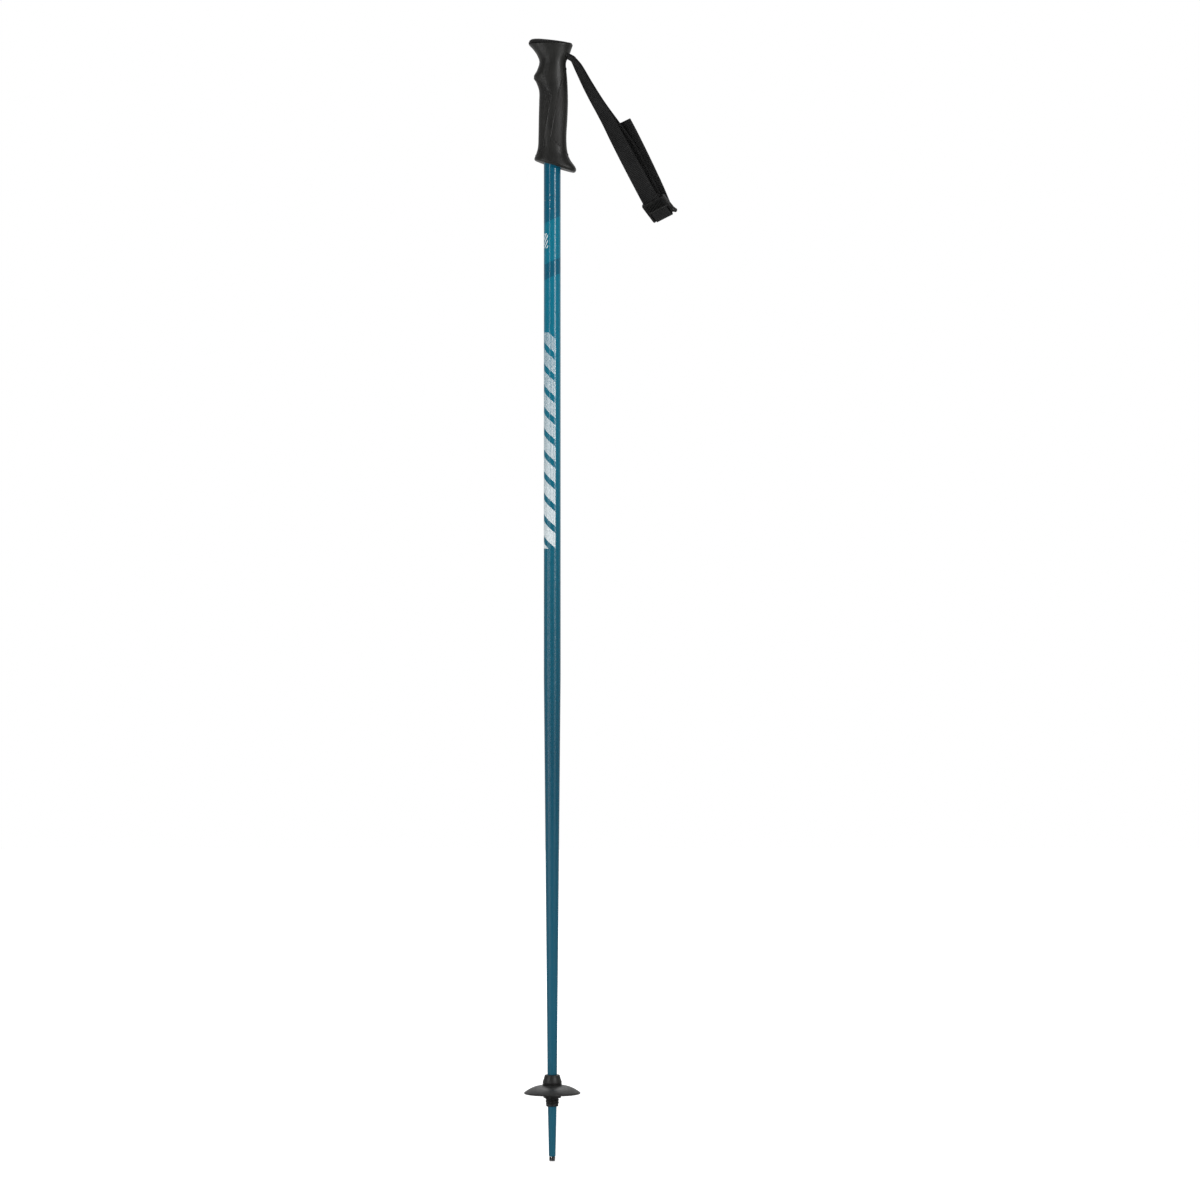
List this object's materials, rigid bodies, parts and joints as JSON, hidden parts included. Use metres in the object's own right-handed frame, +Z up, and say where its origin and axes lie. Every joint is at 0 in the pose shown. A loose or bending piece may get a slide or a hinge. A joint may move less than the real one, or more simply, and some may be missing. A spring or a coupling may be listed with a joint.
{
  "type": "ski pole",
  "caption": "Alpine ski pole with a tapered shaft, flared two-part grip, webbing wrist strap with a tilting buckle, screw-on domed snow basket and steel tip",
  "frame": {"origin": "on the shaft's axis at the middle of the grip, 1125 mm above the end of the tip", "axes": "+Z runs up the shaft from the tip to the grip's head, -X points to the grip's nose at the front of the hand and +X to the wrist strap at the back"},
  "size_m": [0.1626, 0.0604, 1.2001],
  "materials": {
    "shaft_paint": "teal metallic paint under a clear satin-gloss coat, with darker bands near the grip",
    "tip_steel": "bright turned steel",
    "black_plastic": "black moulded plastic, satin",
    "basket_plastic": "black moulded plastic, satin",
    "grip_plastic": "smooth black plastic, satin",
    "grip_rubber": "soft black rubber with fine diagonal ribs",
    "pin_steel": "plain steel",
    "webbing": "black ribbed nylon webbing",
    "buckle_plastic": "black moulded plastic, matt"
  },
  "bodies": {
    "pole": {"shaft": "shaft_paint", "steel_tip": "tip_steel", "basket_sleeve": "black_plastic", "grip_core": "grip_plastic", "grip_front_pad": "grip_rubber", "grip_rear_pad": "grip_rubber", "grip_cap": "grip_plastic", "strap_pin": "pin_steel", "strap_turn": "webbing"},
    "washer": {"basket_washer": "black_plastic"},
    "basket": {"basket": "basket_plastic"},
    "strap": {"strap_front_leg": "webbing", "strap_rear_leg": "webbing", "strap_tail": "webbing", "strap_eye": "webbing"},
    "buckle": {"buckle": "buckle_plastic", "strap_fold": "webbing"}
  },
  "joints": [
    {"name": "strap_swing", "type": "hinge", "parent": "pole", "child": "strap", "pos_m": [0.0194, 0, 0.0564], "axis": [0, 1, 0], "range_deg": [-60, 18]},
    {"name": "buckle_tilt", "type": "hinge", "parent": "strap", "child": "buckle", "pos_m": [0.10935, 0.00229, -0.09747], "axis": [-0.8191, 0.4237, -0.3867], "range_deg": [0, 20]},
    {"name": "basket_drop", "type": "slide", "parent": "pole", "child": "washer", "axis": [0, 0, -1], "range_m": [0, 0.0083]},
    {"name": "basket_turn", "type": "hinge", "parent": "washer", "child": "basket", "pos_m": [0, 0, -1.05], "axis": [0, 0, -1], "range_deg": [0, 1080]}
  ],
  "couplings": [
    {"joint": "basket_drop", "follows": "basket_turn", "m_per_rad": 0.00043768}
  ]
}
